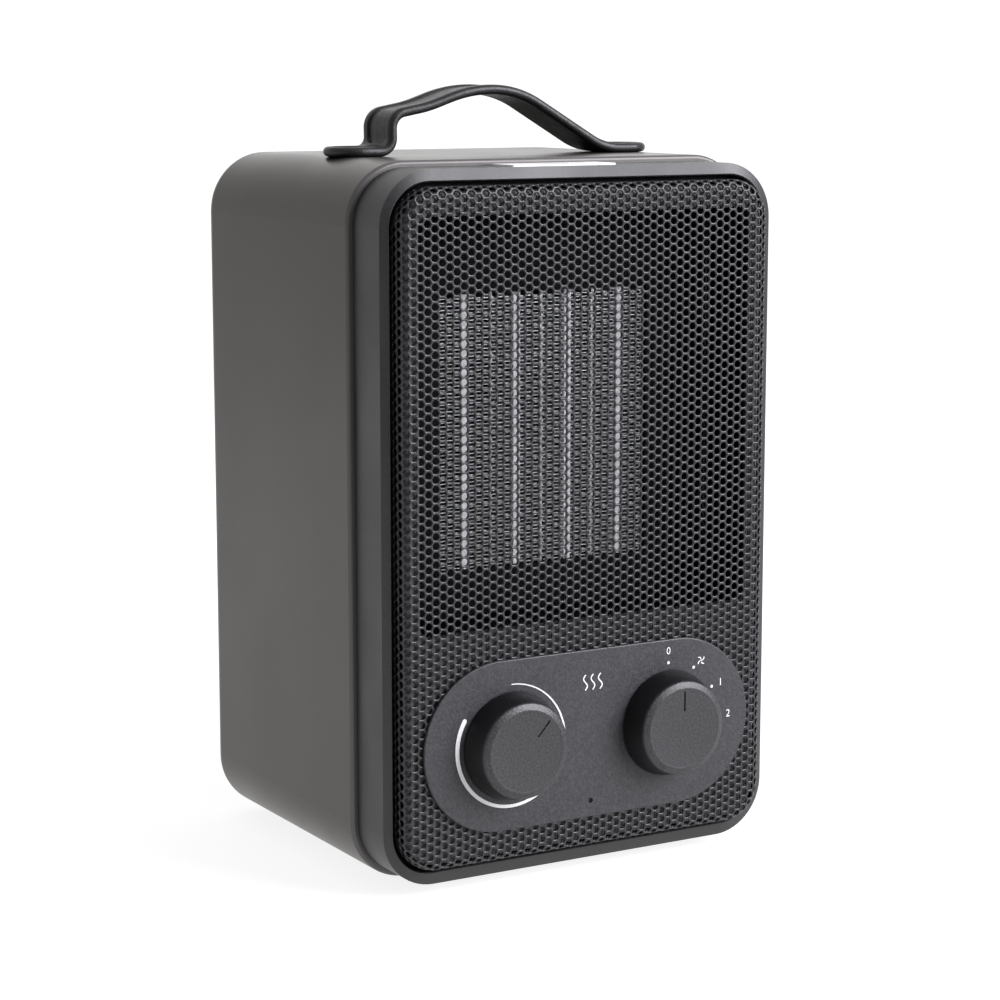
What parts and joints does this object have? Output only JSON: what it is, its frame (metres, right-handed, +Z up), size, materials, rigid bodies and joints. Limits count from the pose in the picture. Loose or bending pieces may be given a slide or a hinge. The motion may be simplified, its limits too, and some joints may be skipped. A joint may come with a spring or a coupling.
{
  "type": "ceramic space heater",
  "caption": "Compact upright fan heater with a perforated front, a pill-shaped control panel with turning knobs, and a flexible strap handle on top.",
  "frame": {"origin": "centre of the object's footprint box, on the surface it stands on", "axes": "+Z up; the front, with the grille and the knobs, faces -Y; +X is to the right of a person who looks at the front"},
  "size_m": [0.1584, 0.149, 0.2706],
  "materials": {
    "shell_dark": "fine matte texture, dark charcoal",
    "housing_satin": "satin, warm charcoal grey",
    "grille_dark": "semi-matt powder coat, dark grey",
    "guide_dark": "matt, dark grey",
    "panel_dark": "fine speckled matt, dark grey with white printed marks",
    "lamp_lens": "dark gloss light pipe",
    "knob_dark": "matt face, satin side",
    "shaft_metal": "turned",
    "bracket_steel": "zinc plated sheet",
    "screw_steel": "zinc plated",
    "screw_black": "black oxide",
    "control_body": "moulded phenolic, black",
    "board_green": "circuit board",
    "ceramic_white": "insulated heating bar, off-white",
    "fin_aluminium": "thin sheet",
    "terminal_brass": "plated tab",
    "holder_black": "heat-proof moulding, black",
    "cutout_metal": "pressed can",
    "impeller_black": "moulded, black",
    "motor_metal": "drawn can",
    "block_white": "moulded, off-white",
    "wire_jacket": "silicone jacket",
    "gland_rubber": "moulded, black",
    "plunger_plastic": "moulded, white",
    "foot_rubber": "matt, black",
    "strap_rubber": "soft-touch, charcoal",
    "label_white": "blank gloss label"
  },
  "bodies": {
    "body": {"front_frame": "shell_dark", "main_housing": "housing_satin", "rear_cover": "shell_dark", "rear_cover_screws": "screw_steel", "front_grille": "grille_dark", "air_guide": "guide_dark", "control_panel": "panel_dark", "indicator_lens": "lamp_lens", "control_bracket": "bracket_steel", "bracket_screws": "screw_steel", "thermostat": "control_body", "mode_switch": "control_body", "lamp_board": "board_green", "ceramic_bars": "ceramic_white", "core_separators": "fin_aluminium", "heat_fins": "fin_aluminium", "core_terminals": "terminal_brass", "core_holder": "holder_black", "thermal_cutout": "cutout_metal", "thermal_fuse": "cutout_metal", "fan_shroud": "holder_black", "fan_motor": "motor_metal", "motor_bracket": "bracket_steel", "motor_bracket_screws": "screw_steel", "terminal_block": "block_white", "supply_wires": "wire_jacket", "cord_gland": "gland_rubber", "tip_switch": "control_body", "foot_front_left": "foot_rubber", "foot_front_right": "foot_rubber", "foot_back_left": "foot_rubber", "foot_back_right": "foot_rubber", "handle_strap": "strap_rubber", "handle_screws": "screw_black", "handle_nuts": "screw_steel", "top_label": "label_white"},
    "thermostat_dial": {"thermostat_knob": "knob_dark", "thermostat_shaft": "shaft_metal"},
    "mode_dial": {"mode_knob": "knob_dark", "mode_switch_shaft": "shaft_metal"},
    "fan_rotor": {"impeller": "impeller_black", "motor_shaft": "shaft_metal"},
    "plunger": {"tip_plunger": "plunger_plastic"}
  },
  "joints": [
    {"name": "thermostat_turn", "type": "hinge", "parent": "body", "child": "thermostat_dial", "pos_m": [-0.0317, -0.07, 0.0504], "axis": [0, 1, 0], "range_deg": [-42, 258]},
    {"name": "mode_turn", "type": "hinge", "parent": "body", "child": "mode_dial", "pos_m": [0.0317, -0.07, 0.0504], "axis": [0, 1, 0], "range_deg": [0, 90]},
    {"name": "fan_spin", "type": "hinge", "parent": "body", "child": "fan_rotor", "pos_m": [0, 0, 0.153], "axis": [0, 1, 0], "continuous": true},
    {"name": "tip_plunger_slide", "type": "slide", "parent": "body", "child": "plunger", "axis": [0, 0, -1], "range_m": [0, 0.004], "stiffness_N_per_m": 20, "springref_m": 0.012}
  ]
}
